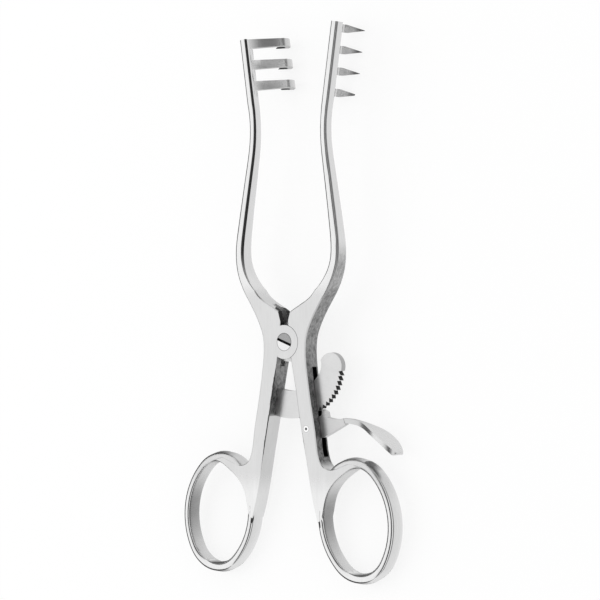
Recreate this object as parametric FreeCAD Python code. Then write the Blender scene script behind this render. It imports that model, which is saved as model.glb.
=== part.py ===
import FreeCAD, Part
import math
import os

# Self-retaining retractor with finger rings, sharp prongs and a box lock.
# Millimetres. The instrument lies front face up: X to the right, Y up the
# instrument towards the prongs, Z out of the front. The lock axis is Z.
V = FreeCAD.Vector

# Lock and shanks, flat on both faces
thickness = 6.2
cheek = 2.0
tongue_clearance = 0.05
cheek_radius = 5.1
recess_clearance = 0.12
tongue_radius = 5.9
box_clearance = 0.2
box_depth = 6.3
box_top = 12.2
box_bottom = -7.4
edge_radius = 0.3
plan_step = 0.4

# Plan outline of one half on its flat stretch, from the lock axis
notch_foot = (1.35, 5.9)
notch_corner = (2.35, 9.3)
shoulder = [(4.4, 10.5), (6.9, 11.85), (9.5, 13.6)]
lateral = [(11.6, 9.1), (9.6, 5.4), (8.3, 2.0), (7.85, -2.0), (8.1, -6.5), (8.8, -11.5)]
lateral_shank = [(9.95, -18.6), (11.7, -28.4), (12.7, -34.2)]
medial_shank = [(10.2, -45.5), (8.3, -35.5), (6.55, -26.6)]
medial = [(5.35, -20.4), (4.4, -14.7), (3.55, -10.2), (2.6, -5.5)]

# Arm stations: x, y, lean from +Y in degrees, half width, half depth, corner
arm_root = (12.6, 14.2, 42.0, 1.95, thickness / 2, 0.35)
arm_stations = [
    (14.75, 16.95, 33.0, 1.65, 3.0, 0.5),
    (16.7, 20.6, 22.0, 1.5, 2.8, 0.7),
    (17.75, 24.5, 7.0, 1.45, 2.6, 0.85),
    (17.9, 28.5, -4.5, 1.42, 2.5, 0.9),
    (17.3, 34.0, -9.0, 1.38, 2.35, 0.9),
    (16.1, 42.0, -9.5, 1.3, 2.15, 0.85),
    (14.5, 52.0, -8.5, 1.2, 1.95, 0.8),
    (13.4, 60.0, -5.0, 1.12, 1.85, 0.78),
    (13.3, 65.5, 2.5, 1.1, 1.8, 0.75),
]
blade_foot = (14.1, 72.3)
blade_lean = 8.4
blade_half_width = 1.2
blade_half_depth = 1.85
blade_corner = 0.75
corner_flats = 3
end_margin = 1.4

# Prongs, measured from the lock axis up to each prong's middle
prong_pitch = 6.5
left_prongs = 3
right_prongs = 4
right_last_prong = 95.4
prong_width = 2.8
prong_bend_width = 2.4
prong_thickness = 1.6
prong_root_depth = 4.2
prong_slant = 37.0
prong_shaft = 9.3
prong_bend_radius = 2.8
prong_turn = 108.0
prong_point = 5.6
prong_tip = 0.16

# Finger rings: centre line semi axes, end radius of the oval, lean
ring_side = 13.3
ring_top = -35.3
ring_long = 17.1
ring_wide = 12.5
ring_end_radius = 10.2
ring_lean = 8.0
ring_half_wall = 1.6
ring_half_depth = 2.9
ring_rim_radius = 1.25
rim_flat_angle = 26.0

# Web between shank and ring: crotch from the foot of the shank, and the opening's edge
# as angles round the ring with the distance in from its centre line
web_crotch = [(1.5, -2.6), (3.6, -3.5), (6.7, -3.0)]
web_top_angle = 86.0
web_opening = [
    (72.0, 0.8), (80.0, 1.4), (90.0, 2.3), (97.0, 2.9), (108.0, 3.1),
    (120.0, 2.7), (133.0, 2.0), (146.0, 1.65), (160.0, 1.35), (172.0, 0.8),
]
web_toe_angle = 177.0
web_toe_inset = -0.9
web_drop = 0.22
relief_start = -30.0
relief_end = -40.0
web_edge_radius = 0.9

# Lock screw
screw_head_radius = 2.75
screw_head_depth = 1.2
screw_radius = 1.5
pivot_clearance = 0.03
driver_slot_width = 0.8
driver_slot_depth = 0.9
driver_slot_angle = -20.0

# Ratchet rack, an arc about the lock axis, held in the left shank
rack_front = 3.2
rack_thickness = 2.0
rack_inner = 14.7
rack_outer = 23.05
tooth_depth = 0.95
tooth_pitch = 3.9
tooth_land = 0.12
tooth_flank = 0.37
tooth_back_clearance = 0.1
teeth = 15
rack_root_angle = -24.0
rack_plain_angle = 8.6
rack_curl_angle = 32.0
rack_curl_radius = 14.0
rack_end_angle = 64.5
rack_end_radius = 4.1
rack_end_reach = 16.6
rack_seat_clearance = 0.02
rivet_radius = 0.8
rivet_cover = 1.0
rivet_angle = -20.6
rivet_reaches = (17.0, 21.0)

# Mortise through the right shank for the rack and the release lever
mortise_side_clearance = 0.1
mortise_start = 1.5
mortise_top = -7.4
mortise_bottom = -34.0

# Release lever
pin_x = 8.25
pin_y = -25.8
pin_radius = 1.1
pin_fit = 0.04
pin_mark_radius = 0.35
lever_eye_radius = 1.95
nose_angle = 30.4
nose_clearance = 0.12
nose_engage_angle = 8.0
nose_height = 1.45
nose_back_slope = 0.6
nose_ramp_slope = 0.62
lever_heel = (12.2, -28.5)
lever_corner = (20.3, -24.25)
lever_top = [(13.6, -22.3), (16.2, -22.75), (19.6, -22.4)]
lever_strip = [(19.0, -23.3), (24.0, -23.55), (29.5, -25.4), (34.2, -28.1), (38.6, -32.0)]
strip_sink = 1.5
strip_inset = 0.12
strip_reach = 60.0
strip_root_thickness = 1.5
strip_tip_thickness = 1.15
pad_half_width = 4.0
pad_start = 23.5
pad_full = 34.3

# Leaf spring on the inner edge of the right shank, and its rivet
spring_thickness = 0.5
spring_half_width = 1.7
spring_seat_length = 6.0
spring_seat_y = -48.0
spring_end_y = -26.4
spring_lift = 0.4
spring_seat_clearance = 0.02
spring_rivet_radius = 0.8
spring_rivet_head = 1.25
spring_rivet_head_height = 0.5
spring_rivet_depth = 1.6

middle = -thickness / 2
ring_x = ring_side + ring_wide
ring_y = ring_top - ring_long
tongue_front = -(cheek + tongue_clearance)
tongue_rear = -(thickness - cheek - tongue_clearance)
recess_radius = cheek_radius + recess_clearance
rack_back = rack_front + rack_thickness
mortise_front = rack_front - mortise_side_clearance
mortise_back = rack_back + mortise_side_clearance
left_last_prong = right_last_prong - prong_pitch / 2 - (right_prongs - left_prongs - 1) * prong_pitch


def polar(radius, angle):
    """Point about the lock axis; the angle runs from -Y towards +X."""
    a = math.radians(angle)
    return V(radius * math.sin(a), -radius * math.cos(a), 0)


def turned(point, centre, angle):
    """The point turned about a centre in the plan."""
    a = math.radians(angle)
    d = point - centre
    x = d.x * math.cos(a) - d.y * math.sin(a)
    y = d.x * math.sin(a) + d.y * math.cos(a)
    return centre + V(x, y, 0)


def line(a, b):
    return Part.makeLine(a, b)


def spline(points):
    curve = Part.BSplineCurve()
    curve.interpolate([V(p[0], p[1], 0) for p in points])
    return curve.toShape()


def slab(edges, front, back):
    """Solid between two depths behind the front face, from a plan outline."""
    face = Part.Face(Part.Wire(Part.__sortEdges__(edges)))
    face.translate(V(0, 0, -back))
    return face.extrude(V(0, 0, back - front))


def polygon_slab(points, front, back):
    corners = [V(p[0], p[1], 0) for p in points]
    loop = corners + corners[:1]
    edges = [line(a, b) for a, b in zip(loop, loop[1:])]
    return slab(edges, front, back)


def disc(radius, front, back, centre=V(0, 0, 0)):
    return Part.makeCylinder(radius, back - front, centre - V(0, 0, back))


def rounded_section(half_width, half_depth, corner, place, lean):
    """Section across an arm that leans from +Y, its corners rounded in narrow flats."""
    points = []
    for k, (sx, sz) in enumerate([(1, 1), (-1, 1), (-1, -1), (1, -1)]):
        centre = V(sx * (half_width - corner), 0, sz * (half_depth - corner))
        for j in range(corner_flats + 1):
            t = math.radians(90 * (k + j / corner_flats))
            points.append(centre + V(corner * math.cos(t), 0, corner * math.sin(t)))
    wire = Part.makePolygon(points + points[:1])
    wire.rotate(V(0, 0, 0), V(0, 0, 1), -lean)
    wire.translate(V(place[0], place[1], middle))
    return wire


def blade_axis(reach):
    """Point on the blade's centre line at a distance from the lock axis."""
    a = math.radians(blade_lean)
    step = reach - math.hypot(*blade_foot)
    return V(blade_foot[0] + step * math.sin(a), blade_foot[1] + step * math.cos(a), 0)


def arm(reach):
    """Curved arm from the lock's shoulder to the end of the blade."""
    sections = []
    for x, y, lean, half_width, half_depth, corner in [arm_root] + arm_stations:
        sections.append(rounded_section(half_width, half_depth, corner, (x, y), lean))
    size = (blade_half_width, blade_half_depth, blade_corner)
    foot = rounded_section(*size, blade_foot, blade_lean)
    end = blade_axis(reach) - V(*blade_foot, 0)
    blade = Part.Face(foot).extrude(end)
    return Part.makeLoft(sections + [foot], True, False).fuse(blade)


def prong(reach):
    """Sharp prong: slanted shaft, round bend and a point that turns back outwards."""
    slant = math.radians(prong_slant)
    half = prong_thickness / 2
    along = V(math.sin(slant), 0, -math.cos(slant))
    out = V(math.cos(slant), 0, math.sin(slant))
    root = V(0, 0, 0)
    foot = root + along * prong_shaft
    sink = root - along * blade_half_width
    centre = foot - out * prong_bend_radius

    def oblong(place, across, width):
        rise = across * half
        side = V(0, width / 2, 0)
        corners = [place + rise + side, place - rise + side, place - rise - side, place + rise - side]
        return Part.makePolygon(corners + corners[:1])

    shaft = Part.makeLoft([oblong(sink, out, prong_width), oblong(foot, out, prong_bend_width)], True, True)
    bend_face = Part.Face(oblong(foot, out, prong_bend_width))
    bend = bend_face.revolve(centre, V(0, 1, 0), prong_turn)
    turn = FreeCAD.Rotation(V(0, 1, 0), prong_turn)
    heel = centre + turn.multVec(foot - centre)
    aim = turn.multVec(along)
    across = turn.multVec(out)
    point = heel + aim * prong_point
    tip_side = V(0, prong_tip / 2, 0)
    tip_rise = across * (prong_tip / 2)
    tip_corners = [point + tip_rise + tip_side, point - tip_rise + tip_side]
    tip_corners += [point - tip_rise - tip_side, point + tip_rise - tip_side]
    tip = Part.makePolygon(tip_corners + tip_corners[:1])
    spike = Part.makeLoft([oblong(heel, across, prong_bend_width), tip], True, True)
    body = shaft.fuse([bend, spike])
    # The prong was drawn pointing towards +X; it points in from the right arm.
    body = body.mirror(V(0, 0, 0), V(1, 0, 0))
    spot = blade_axis(reach)
    body.translate(V(-blade_half_width, 0, -prong_root_depth))
    body.rotate(V(0, 0, 0), V(0, 0, 1), -blade_lean)
    body.translate(V(spot.x, spot.y, 0))
    return body


def oval_arcs(long, wide, end_radius):
    """Centre, radius, start and sweep of the four tangent arcs of an oval, long in Y."""
    end_rise = long - end_radius
    side_radius = (wide ** 2 + end_rise ** 2 - end_radius ** 2) / (2 * (wide - end_radius))
    side_shift = side_radius - wide
    half_side = math.degrees(math.atan2(end_rise, side_shift))
    return [
        (V(-side_shift, 0, 0), side_radius, -half_side, 2 * half_side),
        (V(0, end_rise, 0), end_radius, half_side, 180 - 2 * half_side),
        (V(side_shift, 0, 0), side_radius, 180 - half_side, 2 * half_side),
        (V(0, -end_rise, 0), end_radius, 180 + half_side, 180 - 2 * half_side),
    ]


def oval_rim():
    """Corners of the ring's section, its round rim ground in narrow flats."""
    points = []
    for centre, radius, start, sweep in oval_arcs(ring_half_depth, ring_half_wall, ring_rim_radius):
        flats = math.ceil(sweep / rim_flat_angle)
        for j in range(flats):
            t = math.radians(start + sweep * j / flats)
            points.append(centre + V(radius * math.cos(t), radius * math.sin(t), 0))
    return points


def finger_ring():
    """Oval ring of oval section, swept round four tangent arcs."""
    rim = oval_rim()
    pieces = []
    for centre, radius, start, sweep in oval_arcs(ring_long, ring_wide, ring_end_radius):
        section = Part.makePolygon(rim + rim[:1])
        section.rotate(V(0, 0, 0), V(1, 0, 0), 90)
        section.translate(centre + V(radius, 0, 0))
        section.rotate(centre, V(0, 0, 1), start)
        pieces.append(Part.Face(section).revolve(centre, V(0, 0, 1), sweep))
    ring = pieces[0].fuse(pieces[1:])
    ring.rotate(V(0, 0, 0), V(0, 0, 1), ring_lean)
    ring.translate(V(ring_x, ring_y, middle))
    return ring


def ring_point(along, inward):
    """Point in the plan beside the ring's centre line, at an angle from the ring's own +X."""
    a = math.radians(along)
    for centre, radius, start, sweep in oval_arcs(ring_long, ring_wide, ring_end_radius):
        # Where the ray from the ring's centre meets this arc.
        toward = V(math.cos(a), math.sin(a), 0)
        across = centre.dot(toward)
        reach = across + math.sqrt(across ** 2 - centre.dot(centre) + radius ** 2)
        hit = toward * reach
        bearing = math.degrees(math.atan2(hit.y - centre.y, hit.x - centre.x))
        if (bearing - start) % 360 <= sweep:
            return turned(hit - toward * inward, V(0, 0, 0), ring_lean) + V(ring_x, ring_y, 0)


def inner_edge():
    """Plan points of the shank's inner edge, from the ring up to the lock."""
    toe = ring_point(web_toe_angle, web_toe_inset)
    return [(toe.x, toe.y)] + medial_shank + medial


def shank_and_lock():
    """Flat middle of a half: shoulder, lock, shank and the web into the ring."""
    a = math.radians(arm_root[2])
    out = V(math.cos(a), -math.sin(a), 0) * arm_root[3]
    root = V(arm_root[0], arm_root[1], 0)
    inner = root - out
    outer = root + out
    foot = lateral_shank[-1]
    crotch = [(foot[0] + dx, foot[1] + dy) for dx, dy in web_crotch]
    top_end = ring_point(web_top_angle, 0)
    opening = [ring_point(angle, inset) for angle, inset in web_opening]
    toe = V(*inner_edge()[0], 0)
    edges = [
        spline(inner_edge()),
        line(V(*medial[-1], 0), V(*notch_foot, 0)),
        line(V(*notch_foot, 0), V(*notch_corner, 0)),
        spline([notch_corner] + shoulder + [(inner.x, inner.y)]),
        line(inner, outer),
        spline([(outer.x, outer.y)] + lateral + lateral_shank + crotch + [(top_end.x, top_end.y)]),
        line(top_end, opening[0]),
        spline([(q.x, q.y) for q in opening]),
        line(opening[-1], toe),
    ]
    body = slab(edges, 0, thickness)
    body = body.makeFillet(web_edge_radius, rim_edges(body, opening))
    body = body.makeFillet(edge_radius, rim_edges(body, [V(p[0], p[1], 0) for p in inner_edge()]))
    outer_line = [V(p[0], p[1], 0) for p in shoulder + lateral + lateral_shank + crotch]
    body = body.makeChamfer(edge_radius, rim_edges(body, outer_line))
    return body.cut(web_relief())


def web_relief():
    """What the grinding takes off both faces, so that the web runs out into the ring."""
    far = 2 * abs(ring_y)
    reliefs = []
    for face, way in ((0, 1), (-thickness, -1)):
        low = face - way * web_drop
        high = face + way * thickness
        wedge = [
            V(-far, relief_start, face), V(-far, relief_end, low), V(-far, -far, low),
            V(-far, -far, high), V(-far, relief_start, high),
        ]
        reliefs.append(Part.Face(Part.makePolygon(wedge + wedge[:1])).extrude(V(2 * far, 0, 0)))
    return reliefs[0].fuse(reliefs[1])


def rim_edges(body, points):
    """Edges of the front and rear faces that run past any of the plan's points."""
    found = []
    for edge in body.Edges:
        level = edge.BoundBox.ZLength < thickness / 4
        on_path = edge.discretize(Distance=plan_step) if level and edge.Length > 2 * plan_step else []
        for q in on_path[1:-1]:
            if any(math.hypot(q.x - p.x, q.y - p.y) < plan_step for p in points):
                found.append(edge)
                break
    return found


def half_blank(last_prong, count):
    """Right-hand forging of one half before the lock is cut."""
    pieces = [arm(last_prong + end_margin), finger_ring()]
    for k in range(count):
        pieces.append(prong(last_prong - k * prong_pitch))
    return shank_and_lock().fuse(pieces)


def mirrored(shape):
    return shape.mirror(V(0, 0, 0), V(1, 0, 0))


def make_left_half():
    """Half with the box: two cheeks and a slot that takes the tongue."""
    body = mirrored(half_blank(left_last_prong, left_prongs))
    for front, back in ((0, cheek), (thickness - cheek, thickness)):
        body = body.fuse(disc(cheek_radius, front, back))
    slot = disc(tongue_radius + box_clearance, cheek, thickness - cheek)
    corner_x = -box_depth
    lower_x = -box_depth * 0.72
    reach = 2 * cheek_radius
    outline = [(reach, box_top), (corner_x, box_top), (corner_x, 0), (lower_x, box_bottom), (reach, box_bottom)]
    body = body.cut(slot.fuse(polygon_slab(outline, cheek, thickness - cheek)))
    body = body.cut(disc(screw_head_radius, 0, screw_head_depth))
    body = body.cut(disc(screw_radius, 0, thickness))
    seat = rack_sector(rack_inner - rack_seat_clearance, rack_outer + rack_seat_clearance,
                       rack_root_angle - 0.1, 0, rack_front - rack_seat_clearance,
                       rack_back + rack_seat_clearance)
    body = body.cut(seat)
    for reach in rivet_reaches:
        body = body.cut(disc(rivet_radius, rivet_cover, thickness, polar(reach, rivet_angle)))
    return body


def make_right_half():
    """Half with the tongue, the mortise and the release lever's pin."""
    body = half_blank(right_last_prong, right_prongs)
    body = body.cut(disc(recess_radius, -1, thickness + 1))
    body = body.fuse(disc(tongue_radius, -tongue_front, -tongue_rear))
    body = body.cut(disc(screw_radius + pivot_clearance, 0, thickness))
    side = (mortise_start, mortise_start + 2 * rack_outer)
    outline = [(side[0], mortise_top), (side[1], mortise_top), (side[1], mortise_bottom), (side[0], mortise_bottom)]
    body = body.cut(polygon_slab(outline, mortise_front, mortise_back))
    body = body.cut(disc(pin_radius, 0, thickness, V(pin_x, pin_y, 0)))
    place, inward = spring_rivet_seat()
    depth = spring_rivet_depth + spring_thickness
    hole = Part.makeCylinder(spring_rivet_radius, depth, place + inward * spring_thickness, -inward)
    return body.cut(hole)


def make_lock_screw():
    """Slotted screw, flush with both cheeks."""
    body = disc(screw_head_radius, 0, screw_head_depth).fuse(disc(screw_radius, 0, thickness))
    slot = Part.makeBox(4 * screw_head_radius, driver_slot_width, 2 * driver_slot_depth)
    slot.translate(V(-2 * screw_head_radius, -driver_slot_width / 2, -driver_slot_depth))
    slot.rotate(V(0, 0, 0), V(0, 0, 1), driver_slot_angle)
    return body.cut(slot)


def rack_sector(inner, outer, start, end, front, back):
    """Flat arc about the lock axis between two angles."""
    middle_angle = (start + end) / 2
    edges = [
        Part.Arc(polar(outer, start), polar(outer, middle_angle), polar(outer, end)).toShape(),
        line(polar(outer, end), polar(inner, end)),
        Part.Arc(polar(inner, end), polar(inner, middle_angle), polar(inner, start)).toShape(),
        line(polar(inner, start), polar(outer, start)),
    ]
    return slab(edges, front, back)


def curl_radius(angle, outer):
    """Reach of the rack's outer edge, which curls in past the curl angle."""
    if angle <= rack_curl_angle:
        return outer
    shift = outer - rack_curl_radius
    a = math.radians(angle - rack_curl_angle)
    half = shift * math.cos(a)
    return half + math.sqrt(half ** 2 - shift ** 2 + rack_curl_radius ** 2)


def nose_tip(turn=0.0):
    """Tip of the lever's nose, lifted just clear of the teeth at rest."""
    tip = polar(rack_outer + nose_clearance, nose_angle)
    return turned(tip, V(pin_x, pin_y, 0), turn)


def first_gullet():
    """Angle of the first gullet, so that one gullet meets the engaged nose."""
    tip = nose_tip(nose_engage_angle)
    met = math.degrees(math.atan2(tip.x, -tip.y) + tooth_back_clearance / tip.Length)
    below = math.floor((met - rack_plain_angle - 0.5) / tooth_pitch)
    return met - below * tooth_pitch


def make_rack():
    """Ratchet rack with saw teeth on its outer edge and a rounded free end."""
    end_centre = polar(rack_end_reach, rack_end_angle)
    start = first_gullet()
    last = start + (teeth - 1) * tooth_pitch
    points = []
    for k in range(teeth):
        angle = start + k * tooth_pitch
        top = angle + tooth_flank * tooth_pitch
        points.append(polar(curl_radius(angle, rack_outer) - tooth_depth, angle))
        points.append(polar(curl_radius(top, rack_outer), top))
        if k < teeth - 1:
            land = top + tooth_land * tooth_pitch
            points.append(polar(curl_radius(land, rack_outer), land))
    begin = polar(rack_outer, start - (1 - tooth_flank - tooth_land) * tooth_pitch)
    begin_angle = math.degrees(math.atan2(begin.x, -begin.y))
    inner_angle = rack_curl_angle
    inner_end = end_centre - polar(rack_end_radius, rack_end_angle)
    root_middle = (rack_root_angle + begin_angle) / 2
    edges = [
        Part.Arc(polar(rack_outer, rack_root_angle), polar(rack_outer, root_middle), begin).toShape(),
    ]
    chain = [begin] + points
    edges += [line(a, b) for a, b in zip(chain, chain[1:])]
    cap_side = end_centre + polar(rack_end_radius, rack_end_angle + 90)
    edges.append(Part.Arc(points[-1], cap_side, inner_end).toShape())
    bend = [(inner_end.x, inner_end.y)]
    for angle in (50, 41):
        spot = polar(rack_inner - 0.25 * (angle - inner_angle) / 9, angle)
        bend.append((spot.x, spot.y))
    spot = polar(rack_inner, inner_angle)
    bend.append((spot.x, spot.y))
    edges.append(spline(bend))
    root_side = (rack_root_angle + inner_angle) / 2
    edges.append(Part.Arc(spot, polar(rack_inner, root_side), polar(rack_inner, rack_root_angle)).toShape())
    edges.append(line(polar(rack_inner, rack_root_angle), polar(rack_outer, rack_root_angle)))
    body = slab(edges, rack_front, rack_back)
    for reach in rivet_reaches:
        body = body.cut(disc(rivet_radius, 0, thickness, polar(reach, rivet_angle)))
    return body


def make_rack_rivets():
    """Two blind rivets driven from the rear and ground flush."""
    rivets = [disc(rivet_radius, rivet_cover, thickness, polar(reach, rivet_angle)) for reach in rivet_reaches]
    return Part.makeCompound(rivets)


def lever_plate():
    """Flat triangular plate with the eye and the nose."""
    eye = V(pin_x, pin_y, 0)
    tip = nose_tip()
    outward = tip * (1 / tip.Length)
    onward = V(-outward.y, outward.x, 0)
    back = tip + (outward + onward * nose_back_slope) * nose_height
    ramp = tip + (outward - onward * nose_ramp_slope) * nose_height
    edges = [
        line(ramp, tip),
        line(tip, back),
        line(back, V(*lever_top[0], 0)),
        spline(lever_top),
        line(V(*lever_top[-1], 0), V(*lever_corner, 0)),
        line(V(*lever_corner, 0), V(*lever_heel, 0)),
    ]
    low = eye + V(1.0, -lever_eye_radius * 0.9, 0)
    left = eye + V(-lever_eye_radius, 0, 0)
    high = eye + V(-0.4, lever_eye_radius * 0.985, 0)
    edges.append(line(V(*lever_heel, 0), low))
    edges.append(Part.Arc(low, left, high).toShape())
    edges.append(line(high, ramp))
    return slab(edges, rack_front, rack_back)


def lever_arm():
    """Curved strip that widens in depth into the thumb pad."""
    curve = Part.BSplineCurve()
    curve.interpolate([V(p[0], p[1], 0) for p in lever_strip])
    above = []
    below = []
    steps = 8
    for k in range(steps + 1):
        share = k / steps
        spot = curve.value(curve.FirstParameter + share * (curve.LastParameter - curve.FirstParameter))
        run = curve.tangent(curve.FirstParameter + share * (curve.LastParameter - curve.FirstParameter))[0]
        up = V(-run.y, run.x, 0)
        half = (strip_root_thickness + share * (strip_tip_thickness - strip_root_thickness)) / 2
        above.append(spot + up * half)
        below.append(spot - up * half)
    top = Part.BSplineCurve()
    top.interpolate(above)
    low = Part.BSplineCurve()
    low.interpolate(below)
    tip_out = (above[-1] - below[-1]).cross(V(0, 0, 1)) * 0.5
    nose = (above[-1] + below[-1]) * 0.5 + tip_out
    edges = [
        top.toShape(),
        low.toShape(),
        line(above[0], below[0]),
        Part.Arc(above[-1], nose, below[-1]).toShape(),
    ]
    face = Part.Face(Part.Wire(Part.__sortEdges__(edges)))
    face.translate(V(0, 0, -rack_front - rack_thickness / 2 - 2 * pad_half_width))
    band = face.extrude(V(0, 0, 4 * pad_half_width))
    # Seen from above the pad: narrow at the root, broad and round at the tip.
    root = lever_strip[0][0] - strip_sink
    narrow = rack_thickness / 2 - strip_inset
    tip = lever_strip[-1][0] + strip_tip_thickness
    edges = [line(V(root, narrow, 0), V(root, -narrow, 0))]
    for side in (1, -1):
        swell = Part.BSplineCurve()
        ends = [V(pad_start, side * narrow, 0), V(pad_full, side * pad_half_width, 0)]
        swell.interpolate(Points=ends, InitialTangent=V(1, 0, 0), FinalTangent=V(1, 0, 0))
        edges.append(line(V(root, side * narrow, 0), ends[0]))
        edges.append(swell.toShape())
    oval = Part.Ellipse(V(pad_full, 0, 0), tip - pad_full, pad_half_width)
    edges.append(Part.ArcOfEllipse(oval, -math.pi / 2, math.pi / 2).toShape())
    plan = Part.Face(Part.Wire(Part.__sortEdges__(edges)))
    plan.rotate(V(0, 0, 0), V(1, 0, 0), 90)
    plan.translate(V(0, -strip_reach, -rack_front - rack_thickness / 2))
    return band.common(plan.extrude(V(0, strip_reach, 0)))


def make_release_lever():
    """Pawl and thumb lever in one piece, turning on its pin."""
    body = lever_plate().fuse(lever_arm())
    return body.cut(disc(pin_radius + pin_fit, 0, thickness, V(pin_x, pin_y, 0)))


def make_lever_pin():
    """Pin of the release lever, flush, with a centre mark on the front."""
    body = disc(pin_radius, 0, thickness, V(pin_x, pin_y, 0))
    depth = pin_mark_radius
    mark = Part.makeCone(0, pin_mark_radius, depth, V(pin_x, pin_y, -depth))
    return body.cut(mark)


def shank_edge(y):
    """Point on the inner edge of the right shank, and the direction off it."""
    curve = Part.BSplineCurve()
    curve.interpolate([V(p[0], p[1], 0) for p in inner_edge()])
    low = curve.FirstParameter
    high = curve.LastParameter
    for _ in range(60):
        guess = (low + high) / 2
        if curve.value(guess).y < y:
            low = guess
        else:
            high = guess
    run = curve.tangent(low)[0]
    return curve.value(low), V(-run.y, run.x, 0)


def spring_rivet_seat():
    """Where the spring's rivet meets the shank, and the direction off the shank."""
    spot, off = shank_edge(spring_seat_y + spring_seat_length * 0.45)
    return V(spot.x, spot.y, middle), off


def make_leaf_spring():
    """Thin leaf: seated and riveted at its lower end, free at the lever's eye."""
    steps = 10
    near = []
    far = []
    seat_top = spring_seat_y + spring_seat_length
    for k in range(steps + 1):
        y = spring_seat_y + (spring_end_y - spring_seat_y) * k / steps
        spot, off = shank_edge(y)
        free = max(0.0, (y - seat_top) / (spring_end_y - seat_top))
        lift = spring_seat_clearance + spring_lift * min(1.0, 3 * free)
        near.append(spot + off * lift)
        far.append(spot + off * (lift + spring_thickness))
    edges = []
    for row in (near, far):
        curve = Part.BSplineCurve()
        curve.interpolate(row)
        edges.append(curve.toShape())
    edges.append(line(near[0], far[0]))
    edges.append(line(near[-1], far[-1]))
    body = slab(edges, -middle - spring_half_width, -middle + spring_half_width)
    place, off = spring_rivet_seat()
    through = 4 * spring_thickness
    hole = Part.makeCylinder(spring_rivet_radius, 2 * through, place - off * through, off)
    return body.cut(hole)


def make_spring_rivet():
    """Round-headed rivet through the spring into the shank."""
    place, off = spring_rivet_seat()
    depth = spring_rivet_depth
    stem = Part.makeCylinder(spring_rivet_radius, depth + spring_thickness, place - off * depth, off)
    seat = place + off * (spring_thickness + spring_seat_clearance * 2)
    head = Part.makeCylinder(spring_rivet_head, spring_rivet_head_height, seat, off)
    neck = Part.makeCylinder(spring_rivet_radius, spring_rivet_head_height, place + off * spring_thickness, off)
    return stem.fuse([neck, head]).removeSplitter()


def main():
    os.makedirs("parts", exist_ok=True)
    nodes = {
        "left_half": make_left_half(),
        "right_half": make_right_half(),
        "lock_screw": make_lock_screw(),
        "ratchet_rack": make_rack(),
        "rack_rivets": make_rack_rivets(),
        "release_lever": make_release_lever(),
        "lever_pin": make_lever_pin(),
        "leaf_spring": make_leaf_spring(),
        "spring_rivet": make_spring_rivet(),
    }
    for name, shape in nodes.items():
        shape.exportStep("parts/" + name + ".step")
        box = shape.BoundBox
        print(name, len(shape.Solids), shape.isValid(), round(shape.Volume, 2),
              [round(v, 2) for v in (box.XMin, box.XMax, box.YMin, box.YMax, box.ZMin, box.ZMax)])


main()
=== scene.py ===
import math

import bpy
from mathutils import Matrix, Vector


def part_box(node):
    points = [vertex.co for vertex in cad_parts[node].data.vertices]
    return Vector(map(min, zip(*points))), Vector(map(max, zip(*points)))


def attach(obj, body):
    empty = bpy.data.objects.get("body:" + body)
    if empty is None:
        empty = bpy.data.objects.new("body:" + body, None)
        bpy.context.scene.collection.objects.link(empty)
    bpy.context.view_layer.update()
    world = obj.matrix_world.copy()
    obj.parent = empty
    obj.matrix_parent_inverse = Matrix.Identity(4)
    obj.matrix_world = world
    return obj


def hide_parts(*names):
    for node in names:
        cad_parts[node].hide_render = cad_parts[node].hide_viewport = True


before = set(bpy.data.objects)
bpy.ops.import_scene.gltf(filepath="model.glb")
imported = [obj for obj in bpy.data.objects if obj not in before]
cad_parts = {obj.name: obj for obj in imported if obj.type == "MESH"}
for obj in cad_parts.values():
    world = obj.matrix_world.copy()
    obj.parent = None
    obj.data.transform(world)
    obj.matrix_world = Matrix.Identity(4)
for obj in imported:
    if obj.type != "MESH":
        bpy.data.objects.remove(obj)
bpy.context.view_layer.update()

mm = 0.001


# The left half, with the three prongs. One stainless forging from finger ring to prongs, it makes the box of
# the lock. It is ground satin on its flats and buffed bright on ring and arm, and the wall between lock and
# rack keeps its coarse grinding; its dark tone there is partly painted shade.
class Signal:
    """A node's output, on which arithmetic adds Math nodes."""

    def __init__(self, nodes, socket):
        self.nodes = nodes
        self.socket = socket

    def math(self, operation, other=None):
        values = {0: self} if other is None else {0: self, 1: other}
        return self.nodes.node("ShaderNodeMath", {"operation": operation}, values)

    def __add__(self, other):
        return self.math("ADD", other)

    __radd__ = __add__

    def __sub__(self, other):
        return self.math("SUBTRACT", other)

    def __rsub__(self, other):
        return self * -1.0 + other

    def __mul__(self, other):
        return self.math("MULTIPLY", other)

    __rmul__ = __mul__

    def rise(self, low, high):
        """0 below low and 1 above high, with a smooth passage between them."""
        settings = {"interpolation_type": "SMOOTHSTEP"}
        return self.nodes.node("ShaderNodeMapRange", settings, {0: self, 1: low, 2: high, 3: 0.0, 4: 1.0})

    def fall(self, low, high):
        """1 below low and 0 above high."""
        return 1 - self.rise(low, high)


class Nodes:
    """A node tree, to which one method adds every kind of node."""

    def __init__(self, owner):
        owner.use_nodes = True
        self.tree = owner.node_tree

    def node(self, kind, settings=None, values=None, output=0):
        made = self.tree.nodes.new(kind)
        settings = dict(settings or {})
        stops = settings.pop("stops", None)
        for name, value in settings.items():
            setattr(made, name, value)
        if stops:
            ramp = made.color_ramp.elements
            while len(ramp) < len(stops):
                ramp.new(1.0)
            for element, (place, shade) in zip(ramp, stops):
                element.position = place
                element.color = (shade, shade, shade, 1)
        for name, value in (values or {}).items():
            self.join(value, made.inputs[name])
        return Signal(self, made.outputs[output])

    def join(self, value, target):
        if isinstance(value, Signal):
            self.tree.links.new(value.socket, target)
        else:
            target.default_value = value

    def split(self, vector):
        outputs = self.node("ShaderNodeSeparateXYZ", values={0: vector}).socket.node.outputs
        return [Signal(self, output) for output in outputs]


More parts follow.
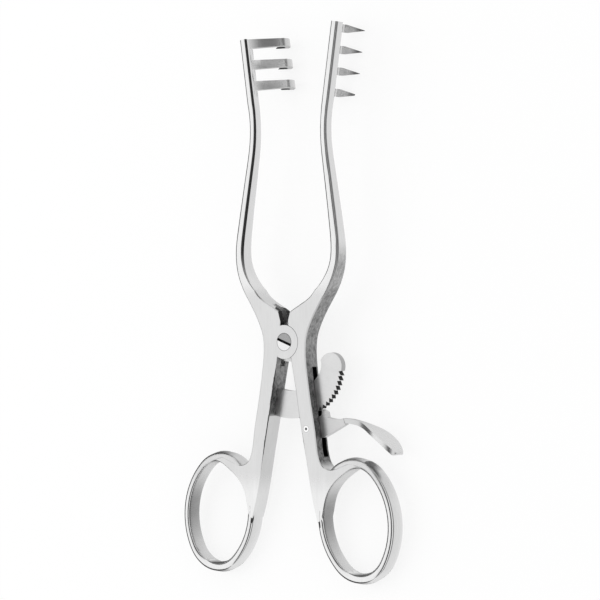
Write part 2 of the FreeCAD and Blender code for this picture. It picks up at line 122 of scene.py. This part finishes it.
class Steel(Nodes):
    """A finish of stainless steel. Its tone, roughness and relief are signals over the piece."""

    def __init__(self, name):
        self.material = bpy.data.materials.new(name)
        super().__init__(self.material)
        self.shader = self.tree.nodes["Principled BSDF"]
        self.shader.inputs["Metallic"].default_value = 1.0
        self.place = self.node("ShaderNodeTexCoord", output="Object")
        self.x, self.y, self.z = self.split(self.place)

    def noise(self, scale, detail=3.0, roughness=0.55, turn=0.0):
        """Noise with a scale per metre on each axis, turned about Z in degrees, from -0.5 to 0.5."""
        values = {"Vector": self.place, "Rotation": (0, 0, math.radians(turn)), "Scale": scale}
        place = self.node("ShaderNodeMapping", values=values)
        values = {"Vector": place, "Scale": 1.0, "Detail": detail, "Roughness": roughness}
        return self.node("ShaderNodeTexNoise", values=values) - 0.5

    def surface(self, tone, roughness, relief, depth):
        colour = self.node("ShaderNodeCombineColor", values={0: tone, 1: tone, 2: tone})
        self.join(colour, self.shader.inputs["Base Color"])
        self.join(roughness, self.shader.inputs["Roughness"])
        values = {"Strength": 0.25, "Distance": depth, "Height": relief}
        self.join(self.node("ShaderNodeBump", values=values), self.shader.inputs["Normal"])
        return self.material


def forged_steel(name, coarse_foot=None, coarse_top=None):
    """The finish of a half, and of its coarsely ground wall where the two heights of that are given."""
    steel = Steel(name)
    grain = steel.noise((2600, 170, 2600), detail=4)
    cloud = steel.noise((230, 70, 230))
    bright_arm = steel.y.rise(13 * mm, 19 * mm)
    bright_ring = steel.y.fall(-47 * mm, -39 * mm)
    bright = bright_arm + bright_ring
    tooth = steel.y.rise(63 * mm, 66 * mm) * steel.z.fall(-5.6 * mm, -4.9 * mm)
    tone = 0.74 + 0.12 * bright + 0.09 * cloud + 0.10 * grain - 0.10 * tooth
    roughness = 0.30 - 0.17 * bright + 0.10 * grain + 0.10 * tooth
    relief = grain * (1 - 0.85 * bright)
    if coarse_top is not None:
        pits = steel.noise((1100, 700, 1100), detail=5, roughness=0.8)
        above_foot = steel.y.rise(coarse_foot - 3 * mm, coarse_foot)
        coarse = above_foot * steel.y.fall(coarse_top, coarse_top + 9 * mm)
        # The ground wall is darker; on the left half, between lock and rack, that dark is partly painted
        # shade.
        tone = tone - coarse * (0.40 + 0.14 * steel.y.fall(-20 * mm, -2 * mm) - 1.1 * pits)
        roughness = roughness + 0.16 * coarse
        relief = relief + 2 * pits * coarse
    return steel.surface(tone, roughness, relief, 0.04 * mm)


def shaded_ring_wall_steel(name):
    """The inner wall of a finger ring, with painted shade darkening it at mid height."""
    steel = Steel(name)
    grain = steel.noise((900, 900, 150), detail=4)
    mid_height_shade = steel.y.rise(-66 * mm, -52 * mm) * steel.y.fall(-50 * mm, -40 * mm)
    return steel.surface(0.74 - 0.36 * mid_height_shade + 0.10 * grain, 0.28 + 0.10 * grain, grain, 0.03 * mm)


def painted_shade_steel(name, tone):
    """Painted shade: a dark tone for a corner between the shanks, and for the floor of a slot or notch, where
    hardly any light goes.
    """
    steel = Steel(name)
    grain = steel.noise((1200, 1200, 1200), detail=4)
    return steel.surface(tone + tone * grain, 0.5 + 0.2 * grain, grain, 0.03 * mm)


def painted_reflection_edge_steel(name, tone):
    """The rolled edge along the front of an arm, with a painted dark reflection above its bend and a paler
    one below it.
    """
    steel = Steel(name)
    grain = steel.noise((1200, 170, 1200), detail=4)
    below_bend = steel.y.fall(18 * mm, 28 * mm)
    shade = tone + (0.55 - tone) * below_bend
    return steel.surface(shade + 0.05 * grain, 0.3 + 0.1 * grain, grain, 0.01 * mm)


def dress(node, name, body, slot, *materials):
    """Copy of a forged or milled piece: doubles merged, flat faces joined, curves shaded smooth."""
    piece = bpy.data.objects.new(name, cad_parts[node].data.copy())
    bpy.context.collection.objects.link(piece)
    bpy.ops.object.select_all(action="DESELECT")
    bpy.context.view_layer.objects.active = piece
    piece.select_set(True)
    piece.data.materials.clear()
    bpy.ops.object.mode_set(mode="EDIT")
    bpy.ops.mesh.select_all(action="SELECT")
    bpy.ops.mesh.remove_doubles(threshold=0.002 * mm)
    bpy.ops.mesh.customdata_custom_splitnormals_clear()
    bpy.ops.mesh.dissolve_limited(angle_limit=math.radians(0.3))
    bpy.ops.object.mode_set(mode="OBJECT")
    bpy.ops.object.shade_smooth_by_angle(angle=math.radians(38))
    even = piece.modifiers.new("even shading", "WEIGHTED_NORMAL")
    even.keep_sharp = True
    even.weight = 100
    bpy.ops.object.modifier_apply(modifier=even.name)
    for material in materials:
        piece.data.materials.append(material)
    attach(piece, body)
    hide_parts(node)
    return piece


def give(piece, material_number, belongs):
    """Another of a piece's finishes for the faces whose centre, in millimetres, and normal belong to it."""
    for face in piece.data.polygons:
        if belongs(face.center / mm, face.normal):
            face.material_index = material_number


def faces_right(normal):
    return normal.x > 0.35 and abs(normal.z) < 0.6


notch_half_width = 4.5
notch_bottom = 4.5
notch_top = 11


def in_notch(centre, normal):
    """True on the walls of the notch between the halves, above the screw."""
    return abs(centre.x) < notch_half_width and notch_bottom < centre.y < notch_top and abs(normal.z) < 0.5


shank_bottom = -55
shank_gap = 1.3
shank_slope = 0.24


def on_inner_edge(centre, top):
    """True on the front edge of a shank that looks to the other shank, below a height."""
    reach = shank_gap - shank_slope * centre.y
    return shank_bottom < centre.y < top and centre.z > -1 and abs(centre.x) < reach


arm_foot = 13


def on_arm_edge(centre, normal):
    """True on the rounded edges along the front face of an arm."""
    return centre.y > arm_foot and centre.z > -2 and 0.2 < normal.z < 0.95 and abs(normal.y) < 0.6


coarse_wall, recess, ring_wall, corner, rolled_edge, grey_reflection_edge = range(1, 7)
ring_centre = 25.8
left_ring_top = -36
left_wall_bottom = -24
left_wall_top = -1
left_corner_top = -8
recess_shade_finish = painted_shade_steel("shadowed_recess", 0.03)
corner_shade_finish = painted_shade_steel("shaded_corner", 0.10)
edge_reflection_finish = painted_reflection_edge_steel("rolled_edge", 0.06)
ring_wall_shade_finish = shaded_ring_wall_steel("ring_wall")
left_wall_grinding_and_shade = forged_steel("left_coarse_wall_and_shade", -21 * mm, -4 * mm)
left_half = dress("left_half", "left_forging", "left", "polished_steel",
                  forged_steel("left_steel"), left_wall_grinding_and_shade, recess_shade_finish, ring_wall_shade_finish,
                  corner_shade_finish, edge_reflection_finish)
# The ground wall between lock and rack is darkened partly by painted shade.
give(left_half, coarse_wall, lambda centre, normal: faces_right(normal)
     and left_wall_bottom < centre.y < left_wall_top)
# The walls of the notch get the near-black painted shade.
give(left_half, recess, in_notch)
# The ring's inner wall gets painted shade at mid height.
give(left_half, ring_wall, lambda centre, normal: faces_right(normal)
     and centre.y < left_ring_top and centre.x < -ring_centre)
# The corner along the shank's inner edge is painted dark as shade.
give(left_half, corner, lambda centre, normal: normal.x > 0.2 and normal.z > 0.2
     and on_inner_edge(centre, left_corner_top))
# The arm's rounded edges carry a painted dark reflection.
give(left_half, rolled_edge, on_arm_edge)


# The right half, with the four prongs. It is forged and finished like the left one, carries the lock's
# tongue, and is slotted through its shank for the rack and the release lever. The outer wall of the shank and
# of the foot of the arm is coarsely ground.
mortise_top = -7.4
mortise_bottom = -34.0
mortise_front = -3.1
mortise_back = -5.3
right_ring_top = -38
right_wall_top = 34
right_corner_top = -26


def in_mortise(centre):
    """True on the walls of the slot through the shank."""
    along = mortise_bottom - 0.1 < centre.y < mortise_top + 0.1
    return along and mortise_back - 0.05 < centre.z < mortise_front + 0.05 and centre.x > 3


right_half = dress("right_half", "right_forging", "right", "polished_steel",
                   forged_steel("right_steel"), forged_steel("right_coarse_wall", -35 * mm, 22 * mm),
                   recess_shade_finish, ring_wall_shade_finish, corner_shade_finish, edge_reflection_finish,
                   painted_reflection_edge_steel("grey_rolled_edge", 0.40))
give(right_half, coarse_wall, lambda centre, normal: faces_right(normal)
     and right_ring_top < centre.y < right_wall_top)
# The walls of the notch get the near-black painted shade.
give(right_half, recess, in_notch)
# The mortise walls get the near-black painted shade.
give(right_half, recess, lambda centre, normal: in_mortise(centre))
# The ring's inner wall gets painted shade at mid height.
give(right_half, ring_wall, lambda centre, normal: faces_right(normal)
     and centre.y < right_ring_top and centre.x < ring_centre)
# The corner along the shank's inner edge is painted dark as shade.
give(right_half, corner, lambda centre, normal: normal.x < -0.15 and normal.z > 0.1
     and on_inner_edge(centre, right_corner_top))
# The arm's rounded edges carry a painted dark reflection, darker on the left edge and grey on the right.
give(right_half, rolled_edge, lambda centre, normal: on_arm_edge(centre, normal) and normal.x < 0)
give(right_half, grey_reflection_edge, lambda centre, normal: on_arm_edge(centre, normal) and normal.x > 0)


# The pivot screw of the lock. It is turned from stainless bar with a slotted head, and holds the box's two
# cheeks and the tongue between them. Its head is faced off flush with the left half's cheek.
screw_steel = Steel("screw_steel")
turning = screw_steel.noise((500, 3200, 500), detail=4, turn=-20)
# The head's upper half is painted darker, as shade.
shaded_half = (screw_steel.y + 0.36 * screw_steel.x).rise(-0.3 * mm, 0.3 * mm)
screw_reach = (screw_steel.x * screw_steel.x + screw_steel.y * screw_steel.y).math("SQRT")
head_edge = screw_reach.rise(2.42 * mm, 2.66 * mm)
screw_tone = (0.88 - 0.50 * shaded_half + 0.12 * turning) * (1 - 0.55 * head_edge)
screw_finish = screw_steel.surface(screw_tone, 0.26 + 0.10 * turning, turning, 0.03 * mm)
lock_screw = dress("lock_screw", "pivot_screw", "left", "satin_steel", screw_finish, recess_shade_finish)
slot_floor = -0.8
slot_reach = 2.5
slot_shade = 1
# The slot's walls and floor get the near-black painted shade.
give(lock_screw, slot_shade, lambda centre, normal: slot_floor - 0.3 < centre.z < -0.02
     and abs(normal.z) < 0.5 and centre.xy.length < slot_reach)
give(lock_screw, slot_shade, lambda centre, normal: slot_floor - 0.3 < centre.z < -0.3 and normal.z > 0.8)


# The rack. It is a thin stainless plate curved about the lock, with saw teeth on its outer edge, and its foot
# is let into the left shank. It is milled, hardened and satin finished.
def satin_steel(name, tone, turn):
    steel = Steel(name)
    grain = steel.noise((600, 2400, 600), detail=4, turn=turn)
    cloud = steel.noise((300, 300, 300))
    return steel.surface(tone + 0.10 * cloud + 0.08 * grain, 0.30 + 0.08 * grain, grain, 0.01 * mm)


teeth_left = 8
teeth_top = -8.6
rack_flat, shaded_tooth_flank, rack_edge = range(3)


def on_teeth(centre, normal, facing):
    """True on the faces of the saw teeth that look to the right by at least as much as given."""
    return centre.x > teeth_left and centre.y < teeth_top and normal.x > facing


rack = dress("ratchet_rack", "toothed_rack", "left", "satin_steel", satin_steel("rack_steel", 0.74, 0),
             recess_shade_finish, satin_steel("rack_edge_steel", 0.50, 0))
give(rack, rack_edge, lambda centre, normal: abs(normal.z) < 0.5)
give(rack, rack_flat, lambda centre, normal: on_teeth(centre, normal, 0.2))
# The flanks of the teeth get the near-black painted shade of the gullets.
give(rack, shaded_tooth_flank, lambda centre, normal: on_teeth(centre, normal, 0.5)
     and centre.xy.normalized().cross(normal.xy) > 0.6)


# The two rivets of the rack. They are short stainless pins through the rack's foot, hammered and ground
# flush, and lie hidden in the left shank.
dress("rack_rivets", "rack_foot_rivets", "left", "satin_steel", satin_steel("rivet_steel", 0.74, 45))


# The release lever. It is one stainless piece: a flat plate with a nose that drops into the rack's teeth, and
# a strip that curls out to a broad thumb pad. The plate is satin, and the strip and pad are buffed.
lever_steel = Steel("lever_steel")
lever_grain = lever_steel.noise((700, 2200, 700), detail=4, turn=-35)
lever_cloud = lever_steel.noise((220, 220, 220))
buffed = lever_steel.x.rise(23 * mm, 31 * mm)
lever_tone = 0.68 + 0.12 * buffed + 0.08 * lever_cloud + 0.10 * lever_grain
lever_finish = lever_steel.surface(lever_tone, 0.34 - 0.06 * buffed + 0.08 * lever_grain,
                                   lever_grain * (1 - 0.8 * buffed), 0.02 * mm)
dress("release_lever", "thumb_lever", "lever", "satin_steel", lever_finish)


# The lever's pin. It is a stainless pin pressed across the mortise of the right shank, with a dished end that
# shows in the front face.
pin_low, pin_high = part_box("lever_pin")
pin_steel = Steel("pin_steel")
pin_grain = pin_steel.noise((1500, 1500, 1500), detail=4)
pin_x = pin_steel.x - (pin_low[0] + pin_high[0]) / 2
pin_y = pin_steel.y - (pin_low[1] + pin_high[1]) / 2
pin_reach = (pin_x * pin_x + pin_y * pin_y).math("SQRT")
# The end is painted near-white as a highlight, with a near-black dot at its centre and a darker rim.
centre_dot = pin_reach.fall(0.32 * mm, 0.44 * mm)
pin_rim = pin_reach.rise(0.92 * mm, 1.02 * mm)
pin_tone = 0.97 + 0.05 * pin_grain - 0.93 * centre_dot - 0.5 * pin_rim
pin_finish = pin_steel.surface(pin_tone, 0.2 + 0.1 * pin_grain, pin_grain, 0.02 * mm)
dress("lever_pin", "lever_pivot_pin", "right", "satin_steel", pin_finish)


# The leaf spring. It is a strip of spring steel along the inner edge of the right shank that presses the
# lever's nose into the rack. Its dark tone is partly its tempering and partly a painted dark reflection.
spring_steel = Steel("spring_steel")
spring_grain = spring_steel.noise((900, 140, 900), detail=4)
spring_tone_and_reflection = 0.16 + 0.10 * spring_grain
spring_finish = spring_steel.surface(spring_tone_and_reflection, 0.30 + 0.10 * spring_grain, spring_grain, 0.02 * mm)
dress("leaf_spring", "tempered_leaf", "right", "satin_steel", spring_finish)


# The leaf's rivet. It is a small round-headed stainless rivet, hammered through the leaf's foot into its seat
# on the right shank.
dress("spring_rivet", "leaf_rivet", "right", "satin_steel", satin_steel("leaf_rivet_steel", 0.78, 70))


# The table. It is a wide white sheet under the ring backs and the prong points, on which the retractor lies.
# The camera sees it as plain white with the soft shadow on it, and steel mirrors the white room past it.
ring_rest = Vector((0, -65.5 * mm, -6.1 * mm))
prong_rest = Vector((0, 86 * mm, -17.9 * mm))
table_gap = 0.4 * mm
bpy.ops.object.select_all(action="DESELECT")
bpy.ops.mesh.primitive_plane_add(size=4)
table = bpy.context.active_object
table.name = "table"
tilt = math.atan2(prong_rest.z - ring_rest.z, prong_rest.y - ring_rest.y)
table.rotation_euler = (tilt, 0, 0)
table.location = (0, 0, ring_rest.z - math.tan(tilt) * ring_rest.y - table_gap)
bpy.ops.object.transform_apply(location=True, rotation=True, scale=True)
sheet = Nodes(bpy.data.materials.new("white_table"))
table.data.materials.append(bpy.data.materials["white_table"])
rays = sheet.node("ShaderNodeLightPath").socket.node.outputs
seen = Signal(sheet, rays["Is Camera Ray"])
mirrored = Signal(sheet, rays["Is Glossy Ray"])
paper = sheet.node("ShaderNodeBsdfDiffuse", values={"Color": (1, 1, 1, 1)})
white = sheet.node("ShaderNodeEmission", values={"Color": (1, 1, 1, 1), "Strength": 1.0})
clear = sheet.node("ShaderNodeBsdfTransparent")
beneath = sheet.node("ShaderNodeNewGeometry", output="Backfacing")
lit = sheet.node("ShaderNodeMixShader", values={0: seen * 0.8, 1: paper, 2: white})
open_to = mirrored.math("MAXIMUM", beneath)
sheet.join(sheet.node("ShaderNodeMixShader", values={0: open_to, 1: lit, 2: clear}),
           sheet.tree.nodes["Material Output"].inputs["Surface"])


# The studio. Long soft boxes hang at the left and right of the camera, with dark cloth between them and along
# the horizon, so that bright steel shows long black and white stripes. The camera itself sees plain white.
room = bpy.data.worlds.new("studio")
bpy.context.scene.world = room
studio = Nodes(room)
dx, dy, dz = studio.split(studio.node("ShaderNodeTexCoord", output="Generated"))
around = dx.math("ARCTAN2", dz) * (0.5 / math.pi) + 0.5
stripes = [(-180, 0.85), (-150, 0.80), (-134, 0.08), (-74, 0.03), (-64, 0.95), (-40, 1.0), (-14, 0.95),
           (4, 0.80), (12, 0.05), (34, 0.03), (42, 0.9), (62, 0.95), (70, 0.20), (96, 0.18), (112, 0.75),
           (180, 0.85)]
stops = [(angle / 360 + 0.5, shade) for angle, shade in stripes]
mirrored_room = studio.node("ShaderNodeValToRGB", {"stops": stops}, {0: around})
rays = studio.node("ShaderNodeLightPath").socket.node.outputs
seen = Signal(studio, rays["Is Camera Ray"])
mirrored = Signal(studio, rays["Is Glossy Ray"])
daylight = studio.node("ShaderNodeMix", {"data_type": "RGBA"},
                       {0: mirrored, 6: (0.9, 0.9, 0.9, 1), 7: mirrored_room}, output=2)
shown = studio.node("ShaderNodeMix", {"data_type": "RGBA"}, {0: seen, 6: daylight, 7: (1, 1, 1, 1)}, output=2)
studio.join(shown, studio.tree.nodes["Background"].inputs["Color"])

lamp = bpy.data.lights.new("softbox", "AREA")
lamp.shape = "RECTANGLE"
lamp.size = 0.5
lamp.size_y = 1.0
lamp.energy = 1.6
softbox = bpy.data.objects.new("softbox", lamp)
bpy.context.collection.objects.link(softbox)
softbox_direction = Vector((-0.62, 0.18, 0.76)).normalized()
softbox.location = softbox_direction * 1.1
softbox.rotation_euler = softbox_direction.to_track_quat("Z", "Y").to_euler()
softbox.visible_glossy = False


# The camera. A long lens looks down on the retractor from its right, with the lever's side nearest and the
# prongs at the top of the picture.
camera_turn = math.radians(37)
camera_right = Vector((math.cos(camera_turn), 0, -math.sin(camera_turn)))
camera_back = Vector((math.sin(camera_turn), 0, math.cos(camera_turn)))
camera_up = Vector((0, 1, 0))
lens = bpy.data.cameras.new("camera")
lens.lens = 138.4
lens.sensor_width = 36
lens.clip_start = 0.01
lens.clip_end = 20
camera = bpy.data.objects.new("camera", lens)
bpy.context.collection.objects.link(camera)
camera.rotation_euler = (0, camera_turn, 0)
camera.location = camera_right * 0.0048 + camera_up * 0.0126 + camera_back * 0.692
bpy.context.scene.camera = camera
bpy.context.scene.view_settings.view_transform = "Standard"
